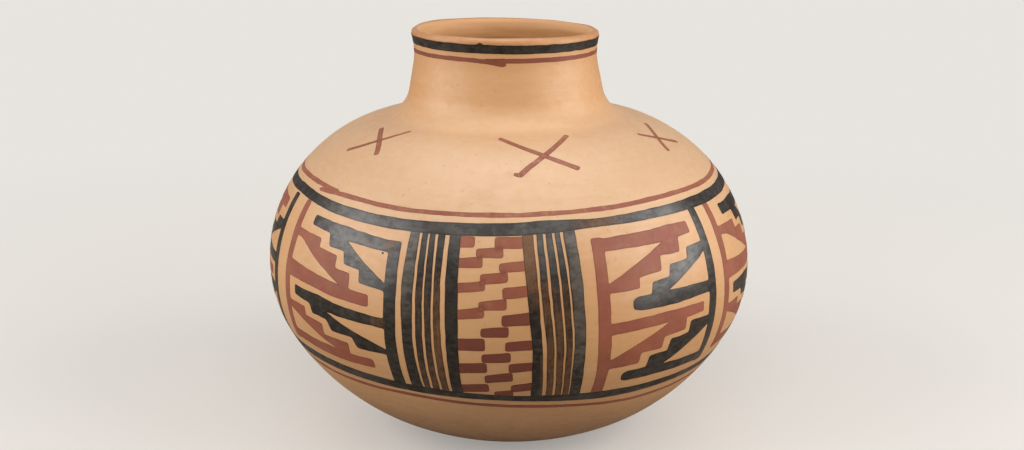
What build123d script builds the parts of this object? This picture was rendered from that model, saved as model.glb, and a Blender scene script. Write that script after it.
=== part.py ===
from build123d import *
import math
import os

# A hand-built pueblo jar: a moulded base, clay coils laid up ring by ring, and painted slip.
# Millimetres. The foot stands on z = 0, the jar's axis is Z, and the front looks along -Y.
# Turns are degrees about the axis, from the front towards +X. Levels are measured from the belly line.

# Clay body
foot_radius = 45
belly_radius = 150
belly_height = 105.5
base_arc = 135.5
belly_arc = 73.5
shoulder_arc = 92.4
root_arc = 20
neck_radius = 56
neck_rise = 51.1
neck_taper = 11
flare_arc = 42
waist_drop = 14
wall = 5.6

# Courses of clay
base_reach = 85
body_courses = 8
neck_courses = 3
lap_angle = 35
seam_inside = 20
seam_outside = 6

# Painted bands
paint = 0.4
paint_clear = 0.1
rim_band_drop = 3.3
rim_band_width = 5.4
neck_line_drop = 11.6
neck_line_width = 2
shoulder_band_level = 51.7
shoulder_band_width = 5.2
shoulder_line_level = 59.6
shoulder_line_width = 2.2
base_band_level = -42.8
base_band_width = 5
base_line_level = -48.6
base_line_width = 2.2
base_tilt = 2

# Crosses on the shoulder: turn and span of each
crosses = ((11.5, 50), (66.3, 36), (146, 42), (222, 46), (306, 40))
cross_radius = 95
cross_line = 3.4

# The painted frieze: three repeats, spaced by eye
repeat_turns = (0, 115, 243)
lines_middle = -3.2
left_fret_middle = -41.5
right_fret_middle = 35

left_lines = ((-22.2, -20), (-19.3, -17.8), (-17.4, -15.9), (-15.4, -13.9), (-13, -10.4))
right_lines = ((4.9, 7.1), (8, 9.5), (9.9, 11.3), (11.8, 13.2), (13.6, 15.9))
right_lines_lean = 1.2

left_bars = (-32.8, -19.5, -5.5, 11.8, 25.5, 38, 47.6)
middle_bars = (-36.3, -25.5, -13, 2, 17, 30, 42.6)
right_bars = (-32.2, -18.5, -5, 9, 23, 36, 47.6)
left_bars_end = -4.9
middle_bars_ends = (-5.4, 0.2)
right_bars_end = -0.9
bar_height = 5
bar_climb = 0.9
bar_clear = 0.15

left_red_post = (-59.4, -57)
left_red_foot = -27.5
left_red_units = (
    (
        ((-58.5, 39.5), (-46.8, 38.5), (-46.8, 33.7), (-40.4, 32.3), (-40.4, 25.8), (-35.8, 24.5),
         (-35.8, 16.5), (-30.5, 15.5), (-30.5, 9), (-40, 9.8), (-48, 11.5), (-58.5, 12.5)),
        ((-56.8, 35.5), (-53.5, 34.3), (-38.5, 17.2), (-48, 19.5), (-57.1, 21.8)),
    ),
    (
        ((-58.5, -2.2), (-50.3, -2.5), (-50.3, -7.5), (-44.3, -8.5), (-44.3, -15), (-36.8, -15.7),
         (-37, -23), (-30.8, -23), (-30.6, -28.5), (-40, -29), (-50, -27.5), (-58.5, -26.5)),
        ((-57, -6.5), (-52, -11), (-41, -22), (-50, -21.5), (-57, -20.5)),
    ),
)

left_black_post = (-26.5, -23.8)
left_black_head = 45
left_black_units = (
    (
        ((-52, 48.5), (-40, 47.7), (-30, 45.5), (-24.5, 44.4), (-24.5, 19), (-27, 19.5), (-33, 21.3),
         (-33.2, 28), (-37.8, 29), (-38.5, 35.5), (-43.5, 35.8), (-44.4, 42.5), (-52, 43.5)),
        ((-38.3, 41), (-26.5, 39), (-26.5, 23.3)),
    ),
    (
        ((-54.3, 8.2), (-45, 8), (-40, 6), (-24.5, 3.5), (-24.5, -17.5), (-34.2, -17.2), (-35.2, -11),
         (-41.2, -11), (-42.5, -4.7), (-47.3, -4.2), (-48.2, 1.3), (-54.3, 2.5)),
        ((-42.5, -0.5), (-26.4, -1.5), (-26.4, -14.5)),
    ),
)

right_red_post = (18.7, 21.4)
right_red_head = 47.5
right_red_units = (
    (
        ((19.5, 46.9), (40, 48.2), (46.3, 47.7), (46.4, 41.7), (41.9, 41.3), (41.2, 33.7), (35.2, 34.5),
         (34.8, 26.5), (28.8, 25.5), (28.7, 19.8), (19.5, 19.7)),
        ((21.4, 41), (36.8, 41), (21.4, 24.5)),
    ),
    (
        ((19.5, 2.5), (35, 4), (46.8, 3.5), (46.8, -2.2), (41, -2.5), (41, -9.5), (34.8, -10.5),
         (34.5, -17.5), (29, -17.5), (28.8, -24.2), (19.5, -24.5)),
        ((21.5, -3.5), (36, -2.2), (21.5, -19)),
    ),
)

right_black_post = (49.1, 51.8)
right_black_foot = -37
right_black_units = (
    (
        ((50.5, 35.8), (43.5, 35.3), (43, 29.5), (37.5, 29), (36.8, 22.5), (32, 22), (31.6, 15.5),
         (28, 15.5), (26.8, 14), (26.8, 9.3), (28.5, 7.8), (50.5, 7.5)),
        ((49.1, 30.5), (49.1, 14), (36, 15.8)),
    ),
    (
        ((50.5, -6.5), (42.5, -5.5), (42.2, -12.5), (36.8, -13), (36.3, -20.2), (31.5, -20.5),
         (31.2, -28), (26.2, -28), (25.2, -29.5), (25.3, -33.5), (26.3, -34.5), (40, -35.5), (50.5, -36.4)),
        ((49.3, -11.5), (49.3, -30.5), (36, -28.7)),
    ),
)

# The outer line of the jar, as arcs and one straight that run into each other without a corner
crown_height = belly_height + shoulder_arc
height = crown_height + neck_rise
waist_height = height - waist_drop


def crossing(centre, reach, other_centre, other_reach):
    """The point at one distance from each of two centres, on the left of the line between them."""
    line = other_centre - centre
    along = (reach**2 - other_reach**2 + line.length**2) / (2 * line.length)
    aside = math.sqrt(reach**2 - along**2)
    direction = line.normalized()
    return centre + direction * along + Vector(-direction.Y, direction.X) * aside


belly_centre = Vector(belly_radius - belly_arc, belly_height)
shoulder_centre = Vector(belly_radius - shoulder_arc, belly_height)
flare_centre = Vector(neck_radius + flare_arc, waist_height)
foot_edge = Vector(foot_radius, 0)
equator = Vector(belly_radius, belly_height)
base_centre = crossing(foot_edge, base_arc, belly_centre, base_arc - belly_arc)
base_end = belly_centre + (belly_centre - base_centre).normalized() * belly_arc

# The neck's straight leaves the flare below the waist, and the root arc fills the corner at the shoulder
taper = math.radians(neck_taper)
neck_outward = Vector(math.cos(taper), math.sin(taper))
neck_down = Vector(math.sin(taper), -math.cos(taper))
neck_end = flare_centre - neck_outward * flare_arc
root_line = neck_end + neck_outward * root_arc - shoulder_centre
root_run = root_line.dot(neck_down)
root_clear = (shoulder_arc + root_arc) ** 2 - root_line.dot(root_line) + root_run**2
root_centre = shoulder_centre + root_line + neck_down * (-root_run - math.sqrt(root_clear))
neck_start = root_centre - neck_outward * root_arc
shoulder_end = shoulder_centre + (root_centre - shoulder_centre).normalized() * shoulder_arc

# The lip is a full round on the end of the wall
lip_reach = flare_arc + wall / 2
lip_level = height - wall / 2 - waist_height
lip_centre = flare_centre + Vector(-math.sqrt(lip_reach**2 - lip_level**2), lip_level)
lip_outward = (flare_centre - lip_centre).normalized()
lip_upward = Vector(-lip_outward.Y, lip_outward.X)
flare_end = lip_centre + lip_outward * (wall / 2)

# Each arc: its centre, its two ends, and 1 where it bulges out or -1 where it hollows in
lower_arcs = (
    (base_centre, foot_edge, base_end, 1),
    (belly_centre, base_end, equator, 1),
    (shoulder_centre, equator, shoulder_end, 1),
    (root_centre, shoulder_end, neck_start, -1),
)
flare = (flare_centre, neck_end, flare_end, -1)


def shifted_arc(arc, shift):
    """One arc of the outer line, moved out from the clay by shift."""
    centre, start, end, bulge = arc
    radius = (start - centre).length + bulge * shift
    to_start = (start - centre).normalized()
    to_end = (end - centre).normalized()
    to_middle = (to_start + to_end).normalized()
    return ThreePointArc(centre + to_start * radius, centre + to_middle * radius, centre + to_end * radius)


def outer_line(shift):
    """The outer line from foot to lip, moved out by shift, and its two ends."""
    lower = [shifted_arc(arc, shift) for arc in lower_arcs]
    Line(neck_start + neck_outward * shift, neck_end + neck_outward * shift)
    upper = shifted_arc(flare, shift)
    return lower[0] @ 0, upper @ 1


def radius_at(level):
    """The jar's outer radius at a level above or below the belly line, under the shoulder's end."""
    centre, radius = shoulder_centre, shoulder_arc
    if level < 0:
        centre, radius = belly_centre, belly_arc
    if level < base_end.Y - belly_height:
        centre, radius = base_centre, base_arc
    return centre.X + math.sqrt(radius**2 - (belly_height + level - centre.Y) ** 2)


def save(piece, name):
    piece.part.label = name
    export_step(piece.part, f"parts/{name}.step")


os.makedirs("parts", exist_ok=True)

# The section of the whole wall, which the courses share out
with BuildSketch(Plane.XZ) as wall_section:
    with BuildLine():
        outer_start, outer_end = outer_line(0)
        inner_start, inner_end = outer_line(-wall)
        ThreePointArc(outer_end, lip_centre + lip_upward * (wall / 2), inner_end)
        Polyline(inner_start, (0, inner_start.Y), (0, 0), outer_start)
    make_face()

with BuildLine() as outer_curve:
    outer_line(0)
outer_wire = outer_curve.wire()

# Courses meet at bevelled laps: each new coil reaches down behind the one below
root_seam = sum(arc.length for arc in outer_curve.edges().filter_by(GeomType.CIRCLE)[:3])
root_seam += outer_curve.edges().filter_by(GeomType.CIRCLE)[3].length / 2
body_step = (root_seam - base_reach) / body_courses
neck_step = (outer_wire.length - root_seam) / neck_courses
seams = [base_reach + body_step * course for course in range(body_courses)]
seams += [root_seam + neck_step * course for course in range(neck_courses)]


def seam_line(distance):
    """The lap at a distance up the outer line: its end inside the jar and its end outside."""
    point = outer_wire.position_at(distance, position_mode=PositionMode.LENGTH)
    upward = outer_wire.tangent_at(distance, position_mode=PositionMode.LENGTH)
    inward = Vector(-upward.Y, upward.X)
    lap = inward - upward * math.tan(math.radians(lap_angle))
    return point + lap * (wall + seam_inside), point - lap * seam_outside


def course_part(zone):
    """A ring of the wall, cut out by its zone of the section and turned about the axis."""
    with BuildPart() as course:
        with BuildSketch(Plane.XZ):
            add(wall_section.sketch_local)
            with BuildLine():
                Polyline(*zone, close=True)
            make_face(mode=Mode.INTERSECT)
        revolve(axis=Axis.Z)
    return course


top_margin = height + seam_inside
base_inside, base_outside = seam_line(seams[0])
base_zone = [(0, -seam_outside), (0, base_inside.Y), base_inside, base_outside, (belly_radius, -seam_outside)]
save(course_part(base_zone), "moulded_base")

for course in range(body_courses + neck_courses):
    low_inside, low_outside = seam_line(seams[course])
    if course + 1 < len(seams):
        high_inside, high_outside = seam_line(seams[course + 1])
    else:
        high_inside = Vector(low_inside.X, top_margin)
        high_outside = Vector(low_outside.X + seam_outside, top_margin)
    name = f"body_coil_{course + 1}"
    if course >= body_courses:
        name = f"neck_coil_{course + 1 - body_courses}"
    if course + 1 == len(seams):
        name = "rim_coil"
    save(course_part([low_inside, low_outside, high_outside, high_inside]), name)

# A skin of slip a hair off the whole outside, from which the painted pieces are cut
with BuildPart() as slip:
    with BuildSketch(Plane.XZ):
        with BuildLine():
            under_start, under_end = outer_line(paint_clear)
            over_start, over_end = outer_line(paint_clear + paint)
            Line(under_start, over_start)
            Line(under_end, over_end)
        make_face()
    revolve(axis=Axis.Z)


def level_plane(above_foot, tilt=0):
    """A flat cut at a height above the foot, tipped down towards +X."""
    slope = math.radians(tilt)
    return Plane(origin=(0, 0, above_foot), z_dir=(math.sin(slope), 0, math.cos(slope)))


def band(low, width, tilt=0):
    """A ring of slip between two cuts."""
    with BuildPart() as ring:
        add(slip.part)
        split(bisect_by=level_plane(low, tilt), keep=Keep.TOP)
        split(bisect_by=level_plane(low + width, tilt), keep=Keep.BOTTOM)
    return ring


rim_band_low = height - rim_band_drop - rim_band_width
neck_line_low = height - neck_line_drop - neck_line_width
shoulder_band_low = belly_height + shoulder_band_level
base_band_low = belly_height + base_band_level
save(band(rim_band_low, rim_band_width), "rim_band_black")
save(band(neck_line_low, neck_line_width), "neck_line_red")
save(band(belly_height + shoulder_line_level, shoulder_line_width), "shoulder_line_red")
save(band(shoulder_band_low, shoulder_band_width), "shoulder_band_black")
save(band(base_band_low, base_band_width, base_tilt), "base_band_black")
save(band(belly_height + base_line_level, base_line_width, base_tilt), "base_line_red")

# Crosses brushed on the shoulder, each of two strokes
cross_lean = math.acos((cross_radius - shoulder_centre.X) / shoulder_arc)
cross_height = belly_height + shoulder_arc * math.sin(cross_lean)

with BuildPart() as shoulder_crosses:
    for turn, span in crosses:
        heading = math.radians(turn)
        outward = Vector(math.sin(heading), -math.cos(heading))
        middle = outward * cross_radius + Vector(0, 0, cross_height)
        normal = outward * math.cos(cross_lean) + Vector(0, 0, math.sin(cross_lean))
        with BuildSketch(Plane(middle, x_dir=(math.cos(heading), math.sin(heading), 0), z_dir=normal)):
            Rectangle(span, cross_line, rotation=45)
            Rectangle(span, cross_line, rotation=-45)
        extrude(amount=span / 4, both=True)
    add(slip.part, mode=Mode.INTERSECT)
save(shoulder_crosses, "shoulder_crosses_red")

# The frieze between the base band and the shoulder band
with BuildPart() as frieze:
    add(slip.part)
    split(bisect_by=level_plane(base_band_low + base_band_width, base_tilt), keep=Keep.TOP)
    split(bisect_by=level_plane(shoulder_band_low), keep=Keep.BOTTOM)
frieze_low = base_band_level - base_band_width
frieze_high = shoulder_band_level + shoulder_band_width


def base_fall(turn):
    """How far the tipped base band lies below its own middle height at a turn."""
    return radius_at(base_band_level) * math.tan(math.radians(base_tilt)) * math.sin(math.radians(turn))


def panel_point(turn, level, panel):
    """A point of the frieze, seen square on from outside the middle of its panel.

    Levels are those of the front repeat. On the others they settle with the tipped base band.
    """
    middle, repeat_turn = panel
    share = (shoulder_band_level - level) / (shoulder_band_level - base_band_level)
    settled = level + share * (base_fall(turn) - base_fall(turn + repeat_turn))
    return radius_at(settled) * math.sin(math.radians(turn - middle)), belly_height + settled


def brush_line(edges, low, high, panel, lean=0):
    """An upright stroke between two turns, which follows the swell of the belly."""
    with BuildLine() as stroke:
        sides = []
        for edge in edges:
            points = [(edge, low), (edge - lean / 2, (low + high) / 2), (edge - lean, high)]
            sides.append(ThreePointArc(*[panel_point(*point, panel) for point in points]))
        Line(sides[0] @ 0, sides[1] @ 0)
        Line(sides[0] @ 1, sides[1] @ 1)
    make_face(stroke.edges())


def patch(outline, panel, mode=Mode.ADD):
    """A flat patch of slip with straight sides."""
    with BuildLine() as border:
        Polyline(*[panel_point(*point, panel) for point in outline], close=True)
    make_face(border.edges(), mode=mode)


def draw_lines(panel):
    for edges in left_lines:
        brush_line(edges, frieze_low, frieze_high, panel)
    for edges in right_lines:
        brush_line(edges, frieze_low, frieze_high, panel, right_lines_lean)


def draw_bar(level, left, right, panel):
    low = level - bar_height / 2
    high = level + bar_height / 2
    patch([(left, low), (right, low + bar_climb), (right, high + bar_climb), (left, high)], panel)


def draw_ladder(panel):
    """Staggered bars that fill the field between the two groups of lines."""
    field_left = left_lines[-1][1] + bar_clear
    for level in left_bars:
        draw_bar(level, field_left, left_bars_end, panel)
    for level in middle_bars:
        draw_bar(level, *middle_bars_ends, panel)
    for level in right_bars:
        climbed = (level - frieze_low) / (frieze_high - frieze_low)
        draw_bar(level, right_bars_end, right_lines[0][0] - right_lines_lean * climbed - bar_clear, panel)


def draw_fret(panel, post, low, high, units):
    """A post with its stepped units, each with a clay triangle left bare."""
    brush_line(post, low, high, panel)
    for outline, bare in units:
        patch(outline, panel)
        patch(bare, panel, mode=Mode.SUBTRACT)


def frieze_part(middle, repeat_turn, draw, *details):
    """Paint on one panel of the frieze, drawn square on and cut from the slip."""
    heading = math.radians(middle + repeat_turn)
    across = (math.cos(heading), math.sin(heading), 0)
    outward = (math.sin(heading), -math.cos(heading), 0)
    with BuildPart() as painted:
        with BuildSketch(Plane((0, 0, 0), x_dir=across, z_dir=outward)):
            draw((middle, repeat_turn), *details)
        extrude(amount=belly_radius + wall)
        add(frieze.part, mode=Mode.INTERSECT)
    return painted


left_red = (draw_fret, left_red_post, left_red_foot, frieze_high, left_red_units)
left_black = (draw_fret, left_black_post, frieze_low, left_black_head, left_black_units)
right_red = (draw_fret, right_red_post, frieze_low, right_red_head, right_red_units)
right_black = (draw_fret, right_black_post, right_black_foot, frieze_high, right_black_units)

for repeat, turn in enumerate(repeat_turns, start=1):
    save(frieze_part(lines_middle, turn, draw_lines), f"panel_lines_black_{repeat}")
    save(frieze_part(lines_middle, turn, draw_ladder), f"ladder_bars_red_{repeat}")
    save(frieze_part(left_fret_middle, turn, *left_red), f"left_fret_red_{repeat}")
    save(frieze_part(left_fret_middle, turn, *left_black), f"left_fret_black_{repeat}")
    save(frieze_part(right_fret_middle, turn, *right_red), f"right_fret_red_{repeat}")
    save(frieze_part(right_fret_middle, turn, *right_black), f"right_fret_black_{repeat}")
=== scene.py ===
import math

import bmesh
import bpy
import numpy as np
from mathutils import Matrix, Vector, noise
from mathutils.geometry import delaunay_2d_cdt


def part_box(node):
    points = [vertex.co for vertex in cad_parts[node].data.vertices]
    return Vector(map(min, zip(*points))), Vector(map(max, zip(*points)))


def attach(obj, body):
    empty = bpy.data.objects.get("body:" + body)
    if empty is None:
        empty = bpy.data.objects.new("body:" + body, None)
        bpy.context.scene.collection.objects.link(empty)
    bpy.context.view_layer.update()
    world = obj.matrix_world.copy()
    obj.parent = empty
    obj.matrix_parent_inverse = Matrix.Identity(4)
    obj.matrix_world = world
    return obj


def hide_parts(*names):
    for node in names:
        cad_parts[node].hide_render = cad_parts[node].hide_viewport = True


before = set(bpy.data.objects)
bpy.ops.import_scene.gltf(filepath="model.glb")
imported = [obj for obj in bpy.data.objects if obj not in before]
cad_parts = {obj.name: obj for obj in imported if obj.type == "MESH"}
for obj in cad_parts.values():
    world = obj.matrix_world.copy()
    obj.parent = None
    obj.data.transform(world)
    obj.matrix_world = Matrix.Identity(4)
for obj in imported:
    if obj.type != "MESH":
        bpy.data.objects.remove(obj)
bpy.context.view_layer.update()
MM = 0.001

# The clay wall. A round-bellied jar of buff clay, laid up by hand in coils on a moulded base,
# scraped thin and rubbed with a smooth stone outside. Its line, in mm, runs from the middle of the
# foot, up the outside, over the lip and down the inside to the middle of the floor.
foot_radius = 45
belly_radius = 150
belly_height = 105.5
base_arc = 135.5
belly_arc = 73.5
shoulder_arc = 92.4
root_arc = 20
neck_radius = 56
neck_taper = math.radians(11)
flare_arc = 42
waist_drop = 14
jar_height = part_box("rim_coil")[1].z / MM
wall = 5.6
line_step = 0.25
least_step = line_step / 10


def unit(vector):
    return vector / np.hypot(*vector)


def step_lengths(points):
    return np.hypot(*np.diff(points, axis=0).T)


def crossing(centre, reach, other, other_reach):
    """The point at one distance from each of two centres, on the left of the line between them."""
    gap = np.hypot(*(other - centre))
    along = (reach**2 - other_reach**2 + gap**2) / (2 * gap)
    direction = (other - centre) / gap
    leftward = np.array((-direction[1], direction[0]))
    return centre + direction * along + leftward * math.sqrt(reach**2 - along**2)


def arc_run(centre, start, end):
    """Points along the short arc from start to end."""
    radius = np.hypot(*(start - centre))
    first = math.atan2(*(start - centre)[::-1])
    sweep = (math.atan2(*(end - centre)[::-1]) - first + math.pi) % (2 * math.pi) - math.pi
    angles = first + sweep * np.linspace(0, 1, max(2, int(abs(sweep) * radius / line_step)))
    return centre + radius * np.column_stack((np.cos(angles), np.sin(angles)))


def straight_run(start, end):
    count = max(2, int(np.hypot(*(end - start)) / line_step))
    return start + (end - start) * np.linspace(0, 1, count)[:, None]


waist_height = jar_height - waist_drop
foot_edge = np.array((foot_radius, 0.0))
equator = np.array((belly_radius, belly_height))
belly_centre = np.array((belly_radius - belly_arc, belly_height))
shoulder_centre = np.array((belly_radius - shoulder_arc, belly_height))
flare_centre = np.array((neck_radius + flare_arc, waist_height))
base_centre = crossing(foot_edge, base_arc, belly_centre, base_arc - belly_arc)
base_end = belly_centre + unit(belly_centre - base_centre) * belly_arc
neck_outward = np.array((math.cos(neck_taper), math.sin(neck_taper)))
neck_down = np.array((math.sin(neck_taper), -math.cos(neck_taper)))
neck_end = flare_centre - neck_outward * flare_arc
root_line = neck_end + neck_outward * root_arc - shoulder_centre
root_run = root_line @ neck_down
root_clear = (shoulder_arc + root_arc) ** 2 - root_line @ root_line + root_run**2
root_centre = shoulder_centre + root_line + neck_down * (-root_run - math.sqrt(root_clear))
neck_start = root_centre - neck_outward * root_arc
shoulder_end = shoulder_centre + unit(root_centre - shoulder_centre) * shoulder_arc
lip_level = jar_height - wall / 2 - waist_height
lip_inset = math.sqrt((flare_arc + wall / 2) ** 2 - lip_level**2)
lip_centre = flare_centre + np.array((-lip_inset, lip_level))
lip_outward = unit(flare_centre - lip_centre)
lip_crest = lip_centre + np.array((-lip_outward[1], lip_outward[0])) * wall / 2
lip_outer = lip_centre + lip_outward * wall / 2

# Each run of the wall's outside: its arc's centre, its ends, and 1 where it bulges or -1 where it is hollow
wall_runs = (
    (base_centre, foot_edge, base_end, 1),
    (belly_centre, base_end, equator, 1),
    (shoulder_centre, equator, shoulder_end, 1),
    (root_centre, shoulder_end, neck_start, -1),
    (None, neck_start, neck_end, 1),
    (flare_centre, neck_end, lip_outer, -1),
)


def wall_line(shift):
    """The wall's line from the foot's edge to the lip, moved out by shift."""
    runs = []
    for centre, start, end, bulge in wall_runs:
        if centre is None:
            runs.append(straight_run(start + neck_outward * shift, end + neck_outward * shift))
        else:
            move = bulge * shift
            moved_start = start + unit(start - centre) * move
            runs.append(arc_run(centre, moved_start, end + unit(end - centre) * move))
    return np.vstack(runs)


outside = np.vstack((straight_run(np.zeros(2), foot_edge), wall_line(0)))
inside = wall_line(-wall)[::-1]
lip = np.vstack((arc_run(lip_centre, lip_outer, lip_crest), arc_run(lip_centre, lip_crest, inside[0])))
floor_run = straight_run(inside[-1], np.array((0.0, inside[-1][1])))
line = np.vstack((outside, lip, inside, floor_run))
line = line[np.append(True, step_lengths(line) > least_step)]
line_length = np.append(0, np.cumsum(step_lengths(line)))
foot_length = foot_radius
outside_length = line_length[np.argmin(np.hypot(*(line - lip_outer).T))]


def radius_at(length):
    return np.interp(length, line_length, line[:, 0])


def height_at(length):
    return np.interp(length, line_length, line[:, 1])


# The hand's unevenness: a slight lean, a rim that dips to the right, and soft hollows in the wall.
# Each hollow: its waves round the jar, its depth, its phase, and how fast it turns with the height.
lean_at_foot = 2.0
lean_at_rim = -2.2
rim_dip = 0.7
rim_dip_turn = math.radians(80)
rim_rise_from = 205
hollows = (
    (2, 0.22, 2.2, 80),
    (3, 0.18, -1.2, -55),
    (5, 0.11, 2.0, 30),
    (8, 0.07, 0.3, -17),
    (13, 0.04, 1.4, 11),
)
hollows_from = 30
normal_nudge = 0.4


def ease(value, low, high):
    """0 below low, 1 above high, and a smooth rise between."""
    share = np.clip((value - low) / (high - low), 0, 1)
    return share * share * (3 - 2 * share)


def on_jar(turn, length, lift=0.0):
    """Points on the uneven wall in mm, at turns from the front and lengths along the jar's line."""
    radius = radius_at(length)
    height = height_at(length)
    after = np.minimum(length + line_step, line_length[-1])
    before = np.maximum(length - line_step, 0)
    along_r = radius_at(after) - radius_at(before)
    along_z = height_at(after) - height_at(before)
    run = np.hypot(along_r, along_z)
    dent = sum(size * np.cos(waves * turn + phase + height / rise) for waves, size, phase, rise in hollows)
    dent = dent * ease(height, 0, hollows_from) * np.where(length < outside_length + wall, 1, -1)
    radius = radius + (lift + dent) * along_z / run
    height = height - (lift + dent) * along_r / run
    lean = lean_at_foot + (lean_at_rim - lean_at_foot) * height / jar_height
    rise = rim_dip * ease(height, rim_rise_from, jar_height) * -np.cos(turn - rim_dip_turn)
    return np.stack((radius * np.sin(turn) + lean, -radius * np.cos(turn), height + rise), axis=-1)


def jar_normals(turn, length):
    """Outward directions on the uneven wall."""
    nudge_turn = normal_nudge / belly_radius
    around = on_jar(turn + nudge_turn, length) - on_jar(turn - nudge_turn, length)
    along = on_jar(turn, length + normal_nudge) - on_jar(turn, length - normal_nudge)
    facing = np.cross(around, along)
    return facing / np.linalg.norm(facing, axis=-1, keepdims=True)


# The courses of clay. The base is pressed in a saucer mould; every coil after it is pinched on
# behind the edge of the one below, at a slanted lap, and the last is rounded off for the lip.
# The laps are scraped away outside, so neighbouring rings share one smooth face.
base_reach = 85
body_courses = 8
neck_courses = 3
lap_slope = math.tan(math.radians(35))
ring_sides = 288
skin_step = 2.5
pole_radius = 3


class Signal:
    """A value on its way through a finish: arithmetic on it adds Math nodes."""

    def __init__(self, finish, socket):
        self.finish = finish
        self.socket = socket

    def maths(self, operation, first, second):
        return self.finish.node("ShaderNodeMath", {"operation": operation}, {0: first, 1: second})

    def __add__(self, other):
        return self.maths("ADD", self, other)

    def __radd__(self, other):
        return self.maths("ADD", other, self)

    def __sub__(self, other):
        return self.maths("SUBTRACT", self, other)

    def __rsub__(self, other):
        return self.maths("SUBTRACT", other, self)

    def __mul__(self, other):
        return self.maths("MULTIPLY", self, other)

    def __rmul__(self, other):
        return self.maths("MULTIPLY", other, self)


class Finish:
    """One material, built up node by node in the jar's own coordinates."""

    mix_share = 0
    mix_first_colour = 6
    mix_second_colour = 7
    mixed_colour = 2

    def __init__(self, name, shelf=bpy.data.materials, shader="Principled BSDF"):
        self.made = shelf.new(name)
        self.made.use_nodes = True
        self.tree = self.made.node_tree
        self.shader = self.tree.nodes[shader]
        self.place = self.node("ShaderNodeTexCoord", {}, {}, "Object")

    def node(self, kind, settings, inputs, output=0):
        """Adds a node: its settings first, then the values or links of its sockets."""
        added = self.tree.nodes.new(kind)
        for setting, value in settings.items():
            setattr(added, setting, value)
        for socket, value in inputs.items():
            self.feed(added.inputs[socket], value)
        return Signal(self, added.outputs[output])

    def feed(self, socket, value):
        if isinstance(value, Signal):
            self.tree.links.new(value.socket, socket)
        else:
            socket.default_value = value

    def set(self, socket, value):
        self.feed(self.shader.inputs[socket], value)

    def vector(self, operation, *inputs, output=0):
        return self.node("ShaderNodeVectorMath", {"operation": operation}, dict(enumerate(inputs)), output)

    def stretched(self, across, up):
        """The jar's coordinates, scaled alike around it and by another factor up it."""
        return self.vector("MULTIPLY", self.place, (across, across, up))

    def grain(self, scale, detail=3.0, rough=0.5, place=None):
        """Soft noise from 0 to 1 with features of about 1 / scale metres."""
        inputs = {"Vector": place or self.place, "Scale": scale, "Detail": detail, "Roughness": rough}
        return self.node("ShaderNodeTexNoise", {}, inputs)

    def between(self, value, low, high):
        """0 where value is under low, 1 where it is over high."""
        settings = {"interpolation_type": "SMOOTHSTEP"}
        inputs = {"Value": value, "From Min": low, "From Max": high}
        return self.node("ShaderNodeMapRange", settings, inputs)

    def blend(self, share, first, second):
        """The first colour, turned into the second by share."""
        inputs = {self.mix_share: share, self.mix_first_colour: first, self.mix_second_colour: second}
        return self.node("ShaderNodeMix", {"data_type": "RGBA"}, inputs, self.mixed_colour)

    def height(self):
        return self.node("ShaderNodeSeparateXYZ", {}, {0: self.place}, "Z")

    def mark(self, name):
        """What the brush left at each point of a piece, or 0 on a piece without such marks."""
        return self.node("ShaderNodeAttribute", {"attribute_name": name}, {}, "Fac")

    def relief(self, signal, strength, depth):
        inputs = {"Height": signal, "Strength": strength, "Distance": depth}
        self.set("Normal", self.node("ShaderNodeBump", {}, inputs, "Normal"))


def colour(red, green, blue):
    """A colour as seen on a screen, 0 to 255, for a shader socket."""
    seen = np.array((red, green, blue)) / 255
    light = np.where(seen <= 0.04045, seen / 12.92, ((seen + 0.055) / 1.055) ** 2.4)
    return (*light, 1)


buff = colour(220, 169, 118)
fire_blush = colour(212, 158, 106)
# Painted sheen: a paler cream for the shoulder, in place of the shine of light from above
shoulder_painted_sheen = colour(221, 187, 152)
stroke_light = colour(229, 188, 144)
stroke_dark = colour(196, 144, 95)
fire_cloud = colour(194, 142, 93)
grit = colour(150, 106, 70)
# Painted shade: a darker brown for the clay near the foot, where shade falls under the jar
foot_painted_shade = colour(150, 107, 67)
lip_brown = colour(196, 134, 78)
scraped_light = colour(212, 155, 103)
scraped_dark = colour(188, 131, 80)
# Painted shade: a dark brown for the inside deep in the mouth, where the rim keeps the light out
mouth_painted_shade = colour(118, 78, 43)
# Painted sheen: a pale band for the inside just under the lip, where light catches the inner wall
mouth_painted_sheen = colour(238, 188, 140)

# Heights in metres between which a change of the clay's colour begins and is complete
sheen_from = (0.14, 0.172)
sheen_to = (0.188, 0.215)
foot_shade_to = (0.015, 0.075)
lip_from = (0.2445, 0.249)
mouth_shade_to = (0.228, 0.25)
mouth_sheen_from = (0.2435, 0.2475)


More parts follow.
